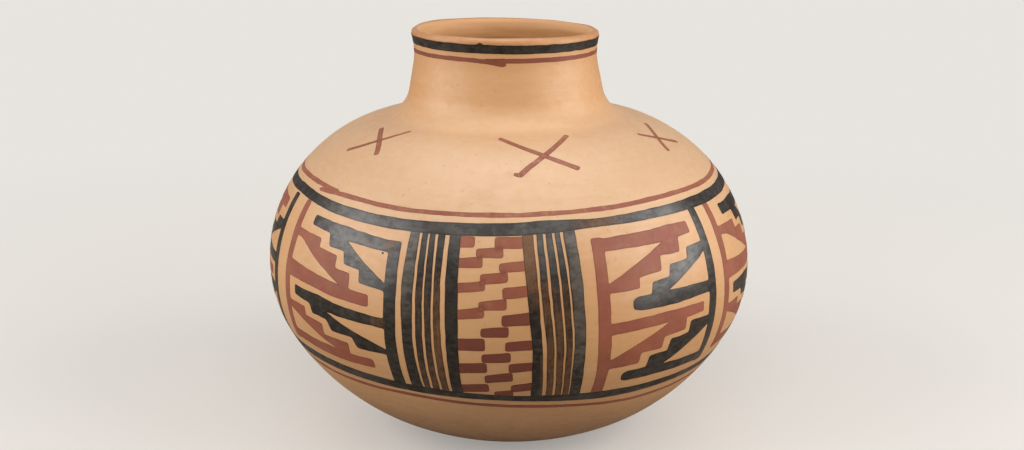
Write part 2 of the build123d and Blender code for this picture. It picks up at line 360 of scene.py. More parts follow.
def clay_finish():
    """Buff clay: orange blushes from the fire, stone-rubbed strokes round it, a scraped dull inside."""
    clay = Finish("polished_buff_clay")
    height = clay.height()
    skin = clay.blend(clay.between(clay.grain(8, 2), 0.36, 0.66), buff, fire_blush)
    # Painted sheen: the shoulder turns towards a paler cream where light from above would shine on it
    painted_sheen = clay.between(height, *sheen_from) * (1 - clay.between(height, *sheen_to))
    skin = clay.blend(painted_sheen * 0.5, skin, shoulder_painted_sheen)
    strokes = clay.grain(1, 4, 0.6, clay.stretched(14, 300))
    skin = clay.blend(clay.between(strokes, 0.48, 0.75) * 0.2, skin, stroke_light)
    skin = clay.blend(clay.between(0 - strokes, -0.46, -0.28) * 0.14, skin, stroke_dark)
    cloud = clay.between(clay.grain(24, 4, 0.6), 0.56, 0.74)
    skin = clay.blend(cloud * 0.25, skin, fire_cloud)
    specks = clay.between(clay.grain(480, 1), 0.7, 0.78)
    skin = clay.blend(specks * 0.3, skin, grit)
    # Painted shade: the clay darkens towards the foot, where shade falls under the jar
    foot_shade = 1 - clay.between(height + clay.grain(30, 3) * 0.03, *foot_shade_to)
    skin = clay.blend(foot_shade * 0.85, skin, foot_painted_shade)
    rubbed_lip = clay.between(height + clay.grain(60, 3) * 0.003, *lip_from)
    skin = clay.blend(rubbed_lip * 0.85, skin, lip_brown)
    facing = clay.node("ShaderNodeNewGeometry", {}, {}, "Normal")
    from_axis = clay.vector("NORMALIZE", clay.vector("MULTIPLY", clay.place, (1, 1, 0)))
    outward = clay.vector("DOT_PRODUCT", facing, from_axis, output="Value")
    within = clay.between(0 - outward, 0.1, 0.6)
    wiped = clay.between(clay.grain(1, 4, 0.6, clay.stretched(18, 190)), 0.35, 0.7)
    scraped = clay.blend(wiped, scraped_light, scraped_dark)
    # Painted shade: the inside darkens lower down the mouth, where the rim keeps the light out
    deep_shade = 1 - clay.between(height + clay.grain(30, 2) * 0.012, *mouth_shade_to)
    scraped = clay.blend(deep_shade * 0.85, scraped, mouth_painted_shade)
    # Painted sheen: a pale band just inside the lip, where light catches the inner wall
    mouth_sheen = clay.between(height + clay.grain(30, 2) * 0.004, *mouth_sheen_from)
    scraped = clay.blend(mouth_sheen * 0.6, scraped, mouth_painted_sheen)
    clay.set("Base Color", clay.blend(within * 0.9, skin, scraped))
    clay.set("Roughness", 0.5 + strokes * 0.1 + within * 0.2)
    worn = clay.between(clay.grain(1, 5, 0.75, clay.stretched(190, 340)), 0.34, 0.66)
    clay.set("Coat Weight", (0.35 + worn * 0.65) * (1 - cloud * 0.15) * (1 - within * 0.9))
    clay.set("Coat Roughness", 0.45)
    clay.set("Coat IOR", 1.62)
    clay.set("Specular IOR Level", 0.25)
    clay.relief(strokes * 0.6 + clay.grain(420, 3) * 0.3 + within * clay.grain(90, 5), 0.2, 0.0006)
    return clay.made


def quads(row, after, count, spans):
    """Four-sided faces between two rows of points, with count points in each row."""
    faces = []
    for side in range(spans):
        beside = (side + 1) % count
        corners = (row, side), (row, beside), (after, beside), (after, side)
        faces.append([place * count + around for place, around in corners])
    return faces


def make_piece(name, points, faces, normals, rounded, material, marks=None):
    """A piece in place of its solid: the first faces take the wall's normals, the rest are flat.

    Marks are named values at each point, which the piece's finish reads.
    """
    mesh = bpy.data.meshes.new(name)
    mesh.from_pydata((points * MM).tolist(), [], faces)
    mesh.polygons.foreach_set("use_smooth", [True] * len(faces))
    mesh.update()
    for mark, values in (marks or {}).items():
        attribute = mesh.attributes.new(mark, "FLOAT", "POINT")
        attribute.data.foreach_set("value", np.ravel(values).astype(np.float32))
    shading = []
    for polygon in mesh.polygons:
        for vertex in polygon.vertices:
            shading.append(normals[vertex] if polygon.index < rounded else polygon.normal)
    mesh.normals_split_custom_set(shading)
    mesh.materials.append(material)
    piece = bpy.data.objects.new("jar_" + name, mesh)
    bpy.context.scene.collection.objects.link(piece)
    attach(piece, "root")
    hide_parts(name)


def inner_seam(length):
    """Where the lap that starts outside at a length comes out on the inside of the wall."""
    point = np.array((radius_at(length), height_at(length)))
    ahead = np.array((radius_at(length + line_step), height_at(length + line_step)))
    upward = unit(ahead - point)
    target = point + wall * (np.array((-upward[1], upward[0])) - upward * lap_slope)
    inner = line_length > outside_length + wall
    return line_length[inner][np.argmin(np.hypot(*(line[inner] - target).T))]


def rows_between(first, last):
    return np.linspace(first, last, max(2, int(abs(last - first) / skin_step) + 1))


def lay_course(name, stretches, capped=False):
    """A ring of clay over stretches of the jar's line, closed by laps, or by flat discs at the poles."""
    lengths = np.concatenate([rows_between(*stretch) for stretch in stretches])
    turns, rows = np.meshgrid(ring_turns, lengths)
    points = on_jar(turns, rows).reshape(-1, 3)
    normals = jar_normals(turns, rows).reshape(-1, 3)
    breaks = np.cumsum([len(rows_between(*stretch)) for stretch in stretches]) - 1
    round_faces = []
    lap_faces = []
    for row in range(len(lengths) - (1 if capped else 0)):
        faces = lap_faces if row in breaks else round_faces
        faces.extend(quads(row, (row + 1) % len(lengths), ring_sides, ring_sides))
    if capped:
        lap_faces.append(list(range(ring_sides))[::-1])
        lap_faces.append([(len(lengths) - 1) * ring_sides + side for side in range(ring_sides)])
    make_piece(name, points, round_faces + lap_faces, normals, len(round_faces), clay)


clay = clay_finish()
ring_turns = np.arange(ring_sides) * 2 * math.pi / ring_sides
run_lengths = [step_lengths(arc_run(*run[:3])).sum() for run in wall_runs[:4]]
root_seam = foot_length + sum(run_lengths[:3]) + run_lengths[3] / 2
body_step = (root_seam - foot_length - base_reach) / body_courses
neck_step = (outside_length - root_seam) / neck_courses
seams = [foot_length + base_reach + body_step * course for course in range(body_courses)]
seams += [root_seam + neck_step * course for course in range(neck_courses)]
floor_end = line_length[-1] - pole_radius
lay_course("moulded_base", [(pole_radius, seams[0]), (inner_seam(seams[0]), floor_end)], capped=True)
coil_names = [f"body_coil_{course}" for course in range(1, body_courses + 1)]
coil_names += [f"neck_coil_{course}" for course in range(1, neck_courses)]
for name, low, high in zip(coil_names, seams, seams[1:]):
    lay_course(name, [(low, high), (inner_seam(high), inner_seam(low))])
lay_course("rim_coil", [(seams[-1], inner_seam(seams[-1]))])

# The black bands under the lip, round the shoulder and round the base. The slip, of boiled plants and
# iron, is brushed on the polished clay with a chewed yucca leaf and rubbed in. Each band takes its place
# from the painted solid and is drawn again with a hand's wander.
slip_depth = 0.15
band_lift = 0.14
brush_tip = 2
blunt_tip = 0.02
weld_gap = MM / 50
tremble_waves = 9
tremble_size = 0.25
smoothing = (-4, -2, 0, 2, 4)
slip_density = 1.5
level = ((0, 0),)
ring_shares = np.array((0, 0.16, 0.5, 0.84, 1))
ring_pools = np.array((1, 0, 0, 0, 1))
full_turn = 2 * math.pi
outer_line = line_length <= outside_length
climbing = (line_length >= foot_length) & (line_length <= line_length[np.argmax(line[:, 1])])

deep_black = colour(24, 15, 7)
worn_black = colour(48, 37, 26)
# Partly painted sheen: a slate grey for black slip that is rubbed hazy and that stands in for its shine
slate_haze_and_sheen = colour(97, 87, 77)
dust_grey = colour(98, 84, 68)
thin_brown = colour(126, 87, 56)
pooled_black = colour(32, 20, 10)


def black_finish():
    """Black slip: rubbed to a slaty shine, dull along its pooled edges, brown where it lies thin."""
    black = Finish("black_slip")
    pooled = black.mark("pooled")
    wash_and_sheen = black.mark("wash_and_sheen")
    mottle = black.grain(1, 4, 0.65, black.stretched(170, 330))
    patches = black.grain(30, 3)
    bristles = black.grain(1, 3, 0.6, black.stretched(800, 60))
    thin = black.between(wash_and_sheen + (bristles - 0.5) * 0.9 + (mottle - 0.5) * 0.35, 0.2, 0.9)
    # Partly rubbed haze and partly painted sheen: slate grey at random and wherever the wash is under 0
    haze_and_sheen = black.between((mottle - 0.5) * 1.2 - wash_and_sheen, 0.05, 0.95)
    dust = black.between(black.grain(650, 2), 0.5, 0.72)
    worn = black.between(patches * 0.5 + mottle * 0.5, 0.4, 0.62)
    coat = black.blend(worn * 0.35, deep_black, worn_black)
    coat = black.blend(haze_and_sheen * 0.9, coat, slate_haze_and_sheen)
    coat = black.blend(dust * 0.13, coat, dust_grey)
    coat = black.blend(thin * 0.9, coat, thin_brown)
    black.set("Base Color", black.blend(pooled * 0.5, coat, pooled_black))
    black.set("Roughness", 0.55)
    shine = 0.5 + black.between(patches * 0.4 + mottle * 0.6, 0.38, 0.62) * 0.5
    black.set("Coat Weight", shine * (1 - pooled * 0.4) * (1 - thin * 0.5))
    black.set("Coat Roughness", 0.32)
    black.set("Coat IOR", 1.7)
    black.set("Specular IOR Level", 0.05)
    black.relief(mottle * 0.6 + black.grain(600, 2) * 0.4, 0.12, 0.0004)
    return black.made


def film_edges(node):
    """The closed edges of a painted solid's outer face, as turns and lengths along the jar's line."""
    shape = bmesh.new()
    shape.from_mesh(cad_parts[node].data)
    bmesh.ops.remove_doubles(shape, verts=shape.verts, dist=weld_gap)
    places = np.array([vertex.co for vertex in shape.verts]) / MM
    radius, height = np.hypot(places[:, 0], places[:, 1]), places[:, 2]
    outer = line[outer_line]
    gaps = np.hypot(radius[:, None] - outer[:, 0], height[:, None] - outer[:, 1])
    nearest = np.argmin(gaps, axis=1)
    clear = gaps.min(axis=1)
    on_top = clear > (clear.min() + clear.max()) / 2
    turns = np.arctan2(places[:, 0], -places[:, 1])
    lengths = line_length[nearest]
    links = {}
    for edge in shape.edges:
        sides = [all(on_top[vertex.index] for vertex in face.verts) for face in edge.link_faces]
        if sum(sides) == 1 and len(sides) == 2:
            first, second = (vertex.index for vertex in edge.verts)
            links.setdefault(first, []).append(second)
            links.setdefault(second, []).append(first)
    shape.free()
    loops = []
    while links:
        start = here = min(links)
        loop = []
        while here in links:
            loop.append(here)
            onward = [index for index in links.pop(here) if index in links]
            here = onward[0] if onward else start
        loops.append(np.column_stack((np.unwrap(turns[loop]), lengths[loop])))
    return loops


def ring_edge(loop):
    """A ring's edge as a function: its height above the foot at any turn."""
    ordered = loop[np.argsort(loop[:, 0] % full_turn)]
    heights = height_at(ordered[:, 1])
    return lambda turn: np.interp(turn, ordered[:, 0] % full_turn, heights, period=full_turn)


def ring_edges(node):
    """A ring's lower and upper edge."""
    return sorted((ring_edge(loop) for loop in film_edges(node)), key=lambda edge: edge(0.0))


def length_at(height):
    """The length along the jar's line at a height on the outside."""
    return np.interp(height, line[climbing, 1], line_length[climbing])


def wander(turn, sway, period=360):
    """A hand's drift along a ring, in mm, from a few turns in degrees and their drifts."""
    degrees, drifts = zip(*sway)
    turned = np.degrees(turn)
    near = [np.interp(turned + shift, degrees, drifts, period=period) for shift in smoothing]
    return np.mean(near, axis=0)


def tremble(turn, seed):
    """Fine unevenness of a brushed edge, in mm."""
    ring = [(tremble_waves * math.sin(angle), tremble_waves * math.cos(angle)) for angle in turn]
    coarse = np.array([noise.noise(Vector((x, y, seed))) for x, y in ring])
    fine = np.array([noise.noise(Vector((3 * x, 3 * y, seed))) for x, y in ring])
    return tremble_size * (coarse + fine / 2)


def brush_ring(node, material, lift, seed, sway=level, swell=level, wash_and_sheen=level,
               ends=None, blot=None, load=0.0):
    """A line brushed round the jar: sway moves it and swell widens it, in mm at turns in degrees.

    With ends, two turns in degrees, its tips pass each other by hand instead of meeting. A blot is the
    turn, the width in degrees and the height of a bulge on its upper edge. The wash is how thin it lies,
    or under 0 how grey it is rubbed, with painted sheen, and the load is how full the brush was.
    """
    low_edge, high_edge = ring_edges(node)
    first, last = (0, full_turn) if ends is None else np.radians(ends)
    count = int((last - first) / full_turn * ring_sides * slip_density)
    turn = np.linspace(first, last, count, endpoint=ends is not None)
    drift = wander(turn, sway, 360 if ends is None else None)
    wider = wander(turn, swell) / 2
    low = low_edge(turn) + drift - wider + tremble(turn, seed)
    high = high_edge(turn) + drift + wider + tremble(turn, seed + 5)
    if blot is not None:
        blot_turn, blot_width, blot_height = blot
        aside = (np.degrees(turn) - blot_turn + 180) % 360 - 180
        high = high + blot_height * np.exp(-((aside / blot_width) ** 2))
    if ends is not None:
        middle = (low + high) / 2
        from_tip = radius_at(length_at(middle)) * np.minimum(turn - first, last - turn)
        half = (high - low) / 2 * np.sqrt(np.clip(from_tip / brush_tip, blunt_tip, 1))
        low, high = middle - half, middle + half
    rows = length_at(low + (high - low) * ring_shares[:, None])
    turns = np.broadcast_to(turn, rows.shape)
    pooled = np.broadcast_to(ring_pools[:, None], rows.shape)
    thin = np.broadcast_to(wander(turn, wash_and_sheen), rows.shape)
    marks = {"pooled": np.concatenate((pooled, pooled)), "wash_and_sheen": np.concatenate((thin, thin))}
    marks["full"] = np.full(2 * rows.size, load)
    over, under = on_jar(turns, rows, lift), on_jar(turns, rows, -slip_depth)
    facing = jar_normals(turns, rows)
    points = np.concatenate((over, under[::-1])).reshape(-1, 3)
    normals = np.concatenate((facing, -facing[::-1])).reshape(-1, 3)
    smooth, flat = [], []
    across = len(ring_shares)
    for row in range(2 * across):
        faces = flat if row in (across - 1, 2 * across - 1) else smooth
        faces.extend(quads(row, (row + 1) % (2 * across), count, count if ends is None else count - 1))
    if ends is not None:
        flat.append([row * count for row in range(2 * across)])
        flat.append([row * count + count - 1 for row in range(2 * across)][::-1])
    make_piece(node, points, smooth + flat, normals, len(smooth), material, marks)


black = black_finish()
brush_ring("rim_band_black", black, band_lift, seed=3, blot=(-14, 1.3, 1.2))
shoulder_sway = ((-65, 2.4), (-45, 0.2), (-25, -1.3), (0, -0.8), (8, 0.2), (20, 0.5), (45, 0.7), (65, 0.2),
                 (130, -0.6), (190, 0.5), (250, -0.2))
shoulder_swell = ((-65, -0.7), (-20, 0.3), (8, 0.8), (14, 0.2), (19, -1.5), (35, -0.8), (55, 0), (120, 0.8),
                  (210, -0.8))
shoulder_wash = ((-36, 0), (-28, 0.4), (-20, 0), (-12, 0.2), (-5, 0), (12, 0), (17, 0.55), (25, 0.6),
                 (31, 0.15), (60, 0), (110, 0.3), (130, 0.5), (150, 0), (210, 0.35), (240, 0))
brush_ring("shoulder_band_black", black, band_lift, seed=11,
           sway=shoulder_sway, swell=shoulder_swell, wash_and_sheen=shoulder_wash)
base_sway = ((-50, 0.5), (-30, 0), (0, -0.5), (20, -0.8), (40, -0.4), (120, 0.4), (200, -0.4), (270, 0.3))
base_swell = ((-50, 1.2), (-30, 0.2), (0, -1.2), (20, 0.5), (40, -0.3), (130, 0.8), (220, -0.6))
brush_ring("base_band_black", black, band_lift, seed=21, sway=base_sway, swell=base_swell)

# The red lines beside the bands: one stroke of ochre slip each, brushed on as the bands are while the
# jar is turned. Where the brush comes round again, its end passes the start instead of meeting it.
red_lift = 0.08
ochre = colour(146, 81, 58)
pale_ochre = colour(161, 95, 70)
bright_ochre = colour(154, 76, 58)
streak_red = colour(122, 64, 50)
clay_through = colour(190, 134, 98)
# Partly painted shade: a darker red for a full brush, which on the lower ladder bars also stands in for
# shade
full_and_shaded_red = colour(110, 56, 43)
pooled_red = colour(108, 51, 36)


def red_finish(name, thin):
    """Red ochre slip: less shiny, darker along its pooled edges, the clay showing where it is thin."""
    red = Finish(name)
    pooled = red.mark("pooled")
    streaks = red.grain(1, 3, 0.6, red.stretched(90, 420))
    coat = red.blend(red.between(red.grain(60, 3), 0.35, 0.7), ochre, pale_ochre)
    coat = red.blend(red.between(red.grain(34, 2), 0.42, 0.64) * 0.45, coat, bright_ochre)
    coat = red.blend(red.between(streaks, 0.46, 0.74) * 0.35, coat, streak_red)
    coat = red.blend(red.between(red.grain(300, 3, 0.6), 0.45, 0.8) * (0.16 + thin), coat, clay_through)
    # The full mark darkens the red: a fuller brush on the neck line, and a fuller brush with painted shade
    # on the lower bars
    coat = red.blend(red.mark("full") * 0.75, coat, full_and_shaded_red)
    red.set("Base Color", red.blend(pooled * 0.45, coat, pooled_red))
    red.set("Roughness", 0.6)
    red.set("Coat Weight", (0.25 + red.between(streaks, 0.4, 0.7) * 0.3) * (1 - pooled * 0.5))
    red.set("Coat Roughness", 0.48)
    red.set("Specular IOR Level", 0.25)
    red.relief(streaks * 0.5 + red.grain(600, 2) * 0.5, 0.1, 0.0004)
    return red.made


red = red_finish("red_ochre_slip", 0)
thin_red = red_finish("red_ochre_slip_thin", 0.35)
neck_sway = ((-14, -0.5), (-6, -0.1), (4, 0.1), (120, 0.4), (220, -0.3), (335, 0.1), (347, -0.4),
             (355, -1.3), (361, -2.4))
neck_swell = ((-60, 0.3), (-30, 0.5), (0, 0.8), (30, 0.7), (60, 0.4), (180, 0.2))
brush_ring("neck_line_red", red, red_lift, seed=31,
           sway=neck_sway, swell=neck_swell, ends=(-14, 361), load=0.55)
shoulder_line_sway = ((-57, -0.6), (-50, 0.2), (-45, 0.8), (-25, -0.9), (0, -0.6), (20, 0), (30, 0.1),
                      (33, 0.5), (45, 0.8), (65, 0.2), (100, 0.9), (150, -0.5), (200, -0.8), (250, 0.6),
                      (285, 1.6), (295, 2.2), (303, 1.9), (312, 1.0))
brush_ring("shoulder_line_red", thin_red, red_lift, seed=41,
           sway=shoulder_line_sway, ends=(-57, 312))
base_line_sway = ((160, 0.4), (230, -0.5), (270, 0.6), (315, -0.5), (335, 1.5), (350, 0.4), (370, 0.1),
                  (380, -0.7), (390, -2.0), (400, -1.8), (440, -0.8), (490, 0.5), (528, -0.8))
brush_ring("base_line_red", red, red_lift, seed=51, sway=base_line_sway, ends=(160, 528))

# The upright lines of the frieze, in two groups of five beside the ladder, drawn with the same black
# slip. They run on under the bands, so that no clay shows between where the hand wandered.

# Each line: the turns of its left and right side in degrees, and how thin the slip lies or, under 0,
# how grey it is rubbed, with painted sheen, at the heights where it was followed on the front
line_heights = (155, 130, 100, 72)
upright_lines = (
    ((-22.1, -22.5, -22.2, -22.3), (-19.8, -19.85, -20.0, -19.7), (-0.6, -0.5, -0.1, 0.1)),
    ((-19.2, -19.25, -19.25, -19.2), (-17.8, -17.8, -17.8, -17.8), (0.0, 0.35, 0.3, 0.5)),
    ((-17.35, -17.4, -17.2, -17.2), (-16.05, -15.85, -15.85, -15.7), (0.0, 0.35, 0.4, 0.6)),
    ((-15.4, -15.4, -15.3, -15.15), (-13.8, -14.0, -13.8, -13.55), (0.0, 0.45, 0.7, 0.6)),
    ((-12.8, -12.95, -12.8, -12.8), (-10.25, -10.25, -10.25, -10.3), (0.1, 0.1, 0.0, 0.15)),
    ((3.4, 3.9, 4.8, 4.8), (5.9, 6.3, 6.8, 7.2), (0.85, 0.6, -0.2, 0.0)),
    ((6.6, 6.8, 7.7, 8.0), (8.0, 8.4, 9.3, 9.45), (-0.3, 0.5, 0.5, 0.65)),
    ((8.6, 9.0, 9.7, 10.05), (10.1, 10.75, 11.3, 11.45), (-0.4, 0.4, 0.55, 0.65)),
    ((10.7, 11.2, 11.75, 11.8), (12.0, 12.7, 13.1, 13.15), (-0.4, 0.4, 0.5, 0.6)),
    ((12.7, 13.1, 13.55, 13.4), (15.5, 15.75, 15.95, 15.95), (-0.6, -0.7, -0.6, -0.2)),
)
line_ends = (-0.03, 1.03)
line_rows = 24
repeat_turns = (0, 115, 243)
black_lift = 0.11
stroke_step = 0.7
least_marks = 12
fill_step = 2.4
pool_width = 0.7
inset_room = 0.85 * pool_width
grid_room = 2 * pool_width
tiny = 1e-6
weld = 1e-5
hand_waves = ((22, 0.4), (6, 0.22))
hand_seed = 5
noise.seed_set(hand_seed)
shoulder_low = ring_edges("shoulder_band_black")[0]
base_high = ring_edges("base_band_black")[1]


def winding(points, loops):
    """How many times the loops go round each point: over 0 where there is paint."""
    turns = np.zeros(len(points), int)
    for loop in loops:
        ahead = np.roll(loop, -1, axis=0)
        upward = (loop[None, :, 1] <= points[:, None, 1]) & (ahead[None, :, 1] > points[:, None, 1])
        downward = (loop[None, :, 1] > points[:, None, 1]) & (ahead[None, :, 1] <= points[:, None, 1])
        rise = np.where(ahead[:, 1] == loop[:, 1], 1, ahead[:, 1] - loop[:, 1])
        meet = loop[:, 0] + (points[:, None, 1] - loop[:, 1]) / rise * (ahead[:, 0] - loop[:, 0])
        right = points[:, None, 0] < meet
        turns += (upward & right).sum(axis=1) - (downward & right).sum(axis=1)
    return turns


def anticlockwise(loop):
    ahead = np.roll(loop, -1, axis=0)
    area = (loop[:, 0] * ahead[:, 1] - ahead[:, 0] * loop[:, 1]).sum() / 2
    return loop if area > 0 else loop[::-1]


def off_paint(outline):
    """Unit steps away from the paint at each point of an outline with the paint on its left."""
    slant = np.roll(outline, -1, axis=0) - np.roll(outline, 1, axis=0)
    slant /= np.maximum(np.hypot(*slant.T), tiny)[:, None]
    return np.column_stack((slant[:, 1], -slant[:, 0]))


def brushed(loop, seed, spread, rounding):
    """A loop in mm with its corners rounded by the brush and its sides drawn by hand."""
    closed = np.vstack((loop, loop[:1]))
    along = np.append(0, np.cumsum(step_lengths(closed)))
    steps = np.linspace(0, along[-1], max(least_marks, int(along[-1] / stroke_step)), endpoint=False)
    drawn = np.column_stack([np.interp(steps, along, closed[:, axis]) for axis in (0, 1)])
    for _ in range(int(2 * (rounding / stroke_step) ** 2) + 1):
        drawn = (np.roll(drawn, 1, axis=0) + 2 * drawn + np.roll(drawn, -1, axis=0)) / 4
    drawn = drawn + spread * off_paint(drawn)
    for mark in drawn:
        drift = np.zeros(2)
        for order, (wave, size) in enumerate(hand_waves):
            place = Vector((mark[0] / wave, mark[1] / wave, seed + 3 * order))
            drift += size * np.array(noise.noise_vector(place).xy)
        mark += drift
    return drawn


def nearest_gap(points, marks):
    """How far each point lies from the nearest of some marks."""
    return np.array([np.hypot(*(marks - point).T).min() for point in points])


def fill_points(outlines):
    """Points inside painted outlines: a row along the edges where the slip pools, and a grid."""
    rim = np.vstack(outlines)
    inset = np.vstack([(outline - pool_width * off_paint(outline))[::2] for outline in outlines])
    low, high = rim.min(axis=0), rim.max(axis=0)
    columns = [np.arange(low[axis], high[axis], fill_step) for axis in (0, 1)]
    grid = np.stack(np.meshgrid(*columns), axis=-1).reshape(-1, 2)
    inset = inset[nearest_gap(inset, rim) > inset_room]
    inner = np.vstack((inset, grid[nearest_gap(grid, rim) > grid_room]))
    return inner[winding(inner, outlines) > 0]


def brush_patch(node, loops, material, lift, seed, spread=0.1, rounding=0.75, laid=None):
    """Painted patches in place of a node, filled with small facets that follow the wall.

    The loops are turns and lengths along the jar's line. One that lies inside another leaves bare clay.
    Laid names a mark, and a function of turns and lengths that gives it: how the paint lies there.
    """
    middle = loops[0][:, 0].mean()
    radius = np.mean([radius_at(loop[:, 1]).mean() for loop in loops])
    charts = []
    for loop in loops:
        rounds = round((loop[:, 0].mean() - middle) / full_turn)
        charts.append((loop - (middle + rounds * full_turn, 0)) * (radius, 1))
    outlines = []
    for chart in charts:
        others = [anticlockwise(other) for other in charts if other is not chart]
        bare = winding(chart, others).min() % 2 == 1
        turned = anticlockwise(chart)[::-1] if bare else anticlockwise(chart)
        outlines.append(brushed(turned, seed, spread, rounding))
    edges = []
    for outline in outlines:
        start = len(edges)
        edges += [(start + step, start + (step + 1) % len(outline)) for step in range(len(outline))]
    rim = np.vstack(outlines)
    marked = [Vector(mark) for mark in np.vstack((rim, fill_points(outlines)))]
    filled = delaunay_2d_cdt(marked, edges, [], 0, weld)
    chart = np.array([tuple(mark) for mark in filled[0]])
    triangles = np.array(filled[2])
    triangles = triangles[winding(chart[triangles].mean(axis=1), outlines) > 0]
    turn, length = chart[:, 0] / radius + middle, chart[:, 1]
    marks = {"pooled": np.tile(np.clip(1 - nearest_gap(chart, rim) / pool_width, 0, 1), 2)}
    if laid is not None:
        mark, share = laid
        marks[mark] = np.tile(share(turn, length), 2)
    facing = jar_normals(turn, length)
    points = np.vstack((on_jar(turn, length, lift), on_jar(turn, length, -slip_depth)))
    count = len(chart)
    smooth = triangles.tolist() + (triangles[:, ::-1] + count).tolist()
    sides = {pair for a, b, c in triangles.tolist() for pair in ((a, b), (b, c), (c, a))}
    outer_sides = [(first, second) for first, second in sorted(sides) if (second, first) not in sides]
    flat = [[second, first, first + count, second + count] for first, second in outer_sides]
    normals = np.vstack((facing, -facing))
    make_piece(node, points, smooth + flat, normals, len(smooth), material, marks)


def share_at(turn, height):
    """How far up between the two bands a height lies at a turn: 0 at the base's, 1 at the shoulder's."""
    return (height - base_high(turn)) / (shoulder_low(turn) - base_high(turn))


def repeated(turn, share, repeat_turn):
    """Turns and lengths of a repeat: the same turns on from its start, at the same shares."""
    turn = turn + math.radians(repeat_turn)
    height = base_high(turn) + share * (shoulder_low(turn) - base_high(turn))
    return np.column_stack((turn, length_at(height)))


def line_loops(repeat_turn):
    loops = []
    shares = np.linspace(*line_ends, line_rows)
    followed = [share_at(0, height) for height in line_heights[::-1]]
    for left, right, _ in upright_lines:
        sides = [np.radians(np.interp(shares, followed, side[::-1])) for side in (left, right)]
        turns = np.concatenate((sides[0], sides[1][::-1]))
        loops.append(repeated(turns, np.concatenate((shares, shares[::-1])), repeat_turn))
    return loops


def line_wash_and_sheen(turn, length, repeat_turn):
    """How thin the slip lies at turns and lengths on a repeat's upright lines, or under 0 its rubbed grey
    and painted sheen.
    """
    shares = share_at(turn, height_at(length))
    followed = [share_at(0, height) for height in line_heights[::-1]]
    middles = np.radians([np.mean(left + right) + repeat_turn for left, right, _ in upright_lines])
    nearest = np.argmin(np.abs(turn[:, None] - middles), axis=1)
    washes_and_sheen = [wash_and_sheen[::-1] for _, _, wash_and_sheen in upright_lines]
    return np.array([np.interp(share, followed, washes_and_sheen[stripe]) for share, stripe in zip(shares, nearest)])


for repeat, repeat_turn in enumerate(repeat_turns, start=1):
    thinly_and_sheen = ("wash_and_sheen", lambda turn, length: line_wash_and_sheen(turn, length, repeat_turn))
    brush_patch(f"panel_lines_black_{repeat}", line_loops(repeat_turn), black, black_lift,
                seed=60 + repeat, spread=0, laid=thinly_and_sheen)

# The ladder between the upright lines: short dabs of red slip in three staggered columns, whose ends
# run under the lines. The lower dabs were made with a fuller brush, and their darker red is also painted
# shade.
# Each: its left and right turn, and its lower and upper height at the left and at the right end.
bars = (
    (-10.6, -7.1, 150.4, 155.2, 150.7, 155.2), (-10.8, -5.3, 140.6, 144.6, 141.2, 145.9),
    (-10.7, -4.8, 128.2, 132.5, 129.6, 134.0), (-10.9, -5.0, 114.2, 118.5, 115.4, 120.7),
    (-10.5, -4.8, 96.5, 102.7, 97.2, 103.6), (-10.6, -4.6, 82.5, 88.0, 83.5, 89.0),
    (-10.6, -4.6, 69.2, 74.0, 70.2, 75.2), (-6.4, -0.8, 146.0, 149.6, 146.0, 150.6),
    (-5.5, -0.1, 132.8, 137.3, 133.8, 138.5), (-5.8, -0.4, 119.2, 123.3, 120.0, 125.0),
    (-5.4, 0.0, 105.0, 109.2, 105.5, 110.5), (-5.3, 0.4, 89.8, 94.4, 90.5, 95.8),
    (-5.0, 0.7, 76.4, 80.8, 77.7, 83.0), (-3.3, 0.7, 65.5, 69.6, 65.5, 70.6),
    (-2.4, 4.0, 150.3, 155.2, 150.6, 155.4), (-1.5, 4.0, 138.7, 142.7, 139.5, 144.0),
    (-1.0, 4.2, 125.4, 130.4, 126.5, 131.5), (-1.1, 4.6, 111.3, 116.5, 112.0, 118.0),
    (-0.4, 5.0, 97.2, 102.0, 97.8, 103.0), (0.2, 5.3, 83.5, 88.5, 84.8, 89.6),
    (0.5, 5.3, 70.0, 74.2, 71.2, 76.2),
)
full_and_shaded_below = 116
mm_per_degree = math.radians(belly_radius)


def bar_loops(repeat_turn):
    loops = []
    for left, right, low_left, high_left, low_right, high_right in bars:
        turns = np.radians((left, right, right, left))
        heights = np.array((low_left, low_right, high_right, high_left))
        loops.append(repeated(turns, share_at(turns, heights), repeat_turn))
    return loops


def on_front(turn, length, repeat_turn):
    """Where points of a repeat lie on the front, in mm: across the belly from its middle, and up."""
    return (np.degrees(turn) - repeat_turn) * mm_per_degree, height_at(length)


def bar_load_and_shade(turn, length, repeat_turn):
    """1 on the lower bars, painted with a full brush and darkened as painted shade, and 0 on the upper
    ones.
    """
    across, height = on_front(turn, length, repeat_turn)
    middles = np.array([((left + right) / 2 * mm_per_degree, sum(ends) / 4) for left, right, *ends in bars])
    nearest = np.argmin(np.hypot(across[:, None] - middles[:, 0], height[:, None] - middles[:, 1]), axis=1)
    return (middles[nearest, 1] < full_and_shaded_below).astype(float)


for repeat, repeat_turn in enumerate(repeat_turns, start=1):
    fully_and_shaded = ("full", lambda turn, length: bar_load_and_shade(turn, length, repeat_turn))
    brush_patch(f"ladder_bars_red_{repeat}", bar_loops(repeat_turn), red, red_lift,
                seed=70 + repeat, spread=0.4, rounding=0.6, laid=fully_and_shaded)

